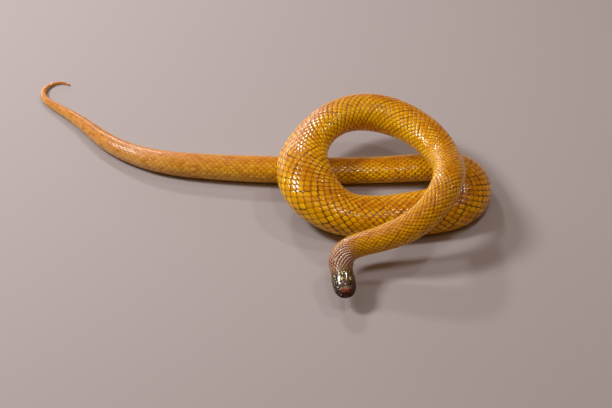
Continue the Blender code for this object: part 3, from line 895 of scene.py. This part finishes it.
def eyeball(name, side):
    """A round ball whose rings circle the line of sight, closed at both poles."""
    e = along_spine(line, np.array([HEAD_STARTS + EYE_FORWARD]))
    gaze = side * e["right"][0] * GAZE[0] + e["forward"][0] * GAZE[1] + e["up"][0] * GAZE[2]
    gaze /= np.linalg.norm(gaze)
    first = np.cross(gaze, e["up"][0])
    first /= np.linalg.norm(first)
    second = np.cross(gaze, first)
    from_gaze = np.linspace(0, 1, BALL_RINGS + 1)[1:-1]
    turn = np.arange(BALL_STEPS) * 2 * np.pi / BALL_STEPS
    radial = np.cos(turn)[:, None] * first + np.sin(turn)[:, None] * second
    angle = from_gaze[:, None, None] * np.pi
    ball = np.cos(angle) * gaze + np.sin(angle) * radial[None]
    points = np.vstack([ball.reshape(-1, 3), gaze, -gaze]) * EYE_RADIUS * MM + eye_centre(side)
    k = np.arange((BALL_RINGS - 1) * BALL_STEPS).reshape(-1, BALL_STEPS)
    beside = np.roll(k, -1, axis=1)
    front, back = k.size, k.size + 1
    faces = np.stack([k[:-1], k[1:], beside[1:], beside[:-1]], -1).reshape(-1, 4).tolist()
    faces += np.stack([np.full(BALL_STEPS, front), k[0], beside[0]], -1).tolist()
    faces += np.stack([np.full(BALL_STEPS, back), beside[-1], k[-1]], -1).tolist()
    values = {"gaze": np.r_[np.repeat(from_gaze, BALL_STEPS), 0, 1]}
    flat = np.vstack([(0.5 + 0.49 * from_gaze[:, None, None]
                       * np.stack([np.cos(turn), np.sin(turn)], 1)[None]).reshape(-1, 2),
                      [(0.5, 0.5), (0.99, 0.5)]])
    return build_mesh(name, points, faces, values, flat)


# Wet eye: a clear hard cover over the iris, so the gloss is sharp and the colour deep.
wet, tree, bsdf = new_material("wet_eye", Roughness=0.08, Coat_Weight=1.0, Coat_Roughness=0.02,
                               IOR=1.38)
gaze = add_node(tree, "Attribute", attribute_name="gaze").outputs["Fac"]
iris = add_node(tree, "ValToRGB", [(0, gaze)],
                ((0, "#040303"), (IRIS + 0.05, "#060403"), (PUPIL, "#050303"),
                 (PUPIL + 0.015, "#7A4016"), (0.2, "#3C1C0C"), (IRIS, "#180B05")))
tree.links.new(iris.outputs[0], bsdf.inputs["Base Color"])
for eye_side, node_name in ((-1, "eye_left"), (1, "eye_right")):
    eye = eyeball("wet_" + node_name, eye_side)
    eye.data.materials.append(wet)
    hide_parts(node_name)

# ------------------------------
# GROUND, LIGHT AND CAMERA
# A plain pale floor. One soft window lights it from the left. A window behind and a wide
# low one give the sheen. Small lamps at the right and overhead and a long strip add glints,
# and a weak warm light comes from all round.
# ------------------------------
floor_mesh = bpy.data.meshes.new("floor")
floor_mesh.from_pydata([(-6, -4, 0), (6, -4, 0), (6, 8, 0), (-6, 8, 0)], [], [(0, 1, 2, 3)])
floor = bpy.data.objects.new("floor", floor_mesh)
bpy.context.scene.collection.objects.link(floor)
stone, tree, bsdf = new_material("plain_floor", Roughness=0.85, Base_Color=linear("#A29592"))
floor.data.materials.append(stone)


def aimed(ob, place_at, target):
    """Put a lamp or camera somewhere and turn it to look at the target."""
    ob.location = place_at
    ob.rotation_euler = (Vector(target) - Vector(place_at)).to_track_quat("-Z", "Y").to_euler()
    bpy.context.scene.collection.objects.link(ob)


LIT_PLACE = (0.05, 0.0, 0.03)
for name, place_at, wide, tall, power in (
        ("side_window", (-1.3, 0.2, 1.45), 0.4, 0.4, 32),
        ("back_window", (-0.45, 1.5, 1.15), 0.24, 0.16, 12),
        ("low_window", (-1.1, 1.7, 0.3), 1.6, 0.5, 12),
        ("right_lamp", (0.85, 0.5, 1.35), 0.1, 0.1, 3.5),
        ("ceiling_strip", (0.1, -0.4, 1.5), 3.6, 0.08, 5),
        ("ceiling_lamp", (0.3, -0.2, 1.6), 0.1, 0.1, 2.5)):
    lamp = bpy.data.lights.new(name, "AREA")
    lamp.shape, lamp.size, lamp.size_y, lamp.energy = "RECTANGLE", wide, tall, power
    lamp.color = (0.9, 0.95, 1.0)
    aimed(bpy.data.objects.new(name, lamp), place_at, LIT_PLACE)

world = bpy.data.worlds.new("room")
world.use_nodes = True
world.node_tree.nodes["Background"].inputs[0].default_value = (1.0, 0.52, 0.16, 1)
world.node_tree.nodes["Background"].inputs[1].default_value = 0.18
bpy.context.scene.world = world

AIM = (0.06344, -0.03316, 0)
camera = bpy.data.cameras.new("camera")
camera.lens, camera.sensor_width = 85, 36
camera.clip_start = 0.01
view = bpy.data.objects.new("camera", camera)
distance, tilt = 1.73, math.radians(40)
aimed(view, (AIM[0], AIM[1] - distance * math.cos(tilt), distance * math.sin(tilt)), AIM)
bpy.context.scene.camera = view
bpy.context.scene.view_settings.view_transform = "Standard"
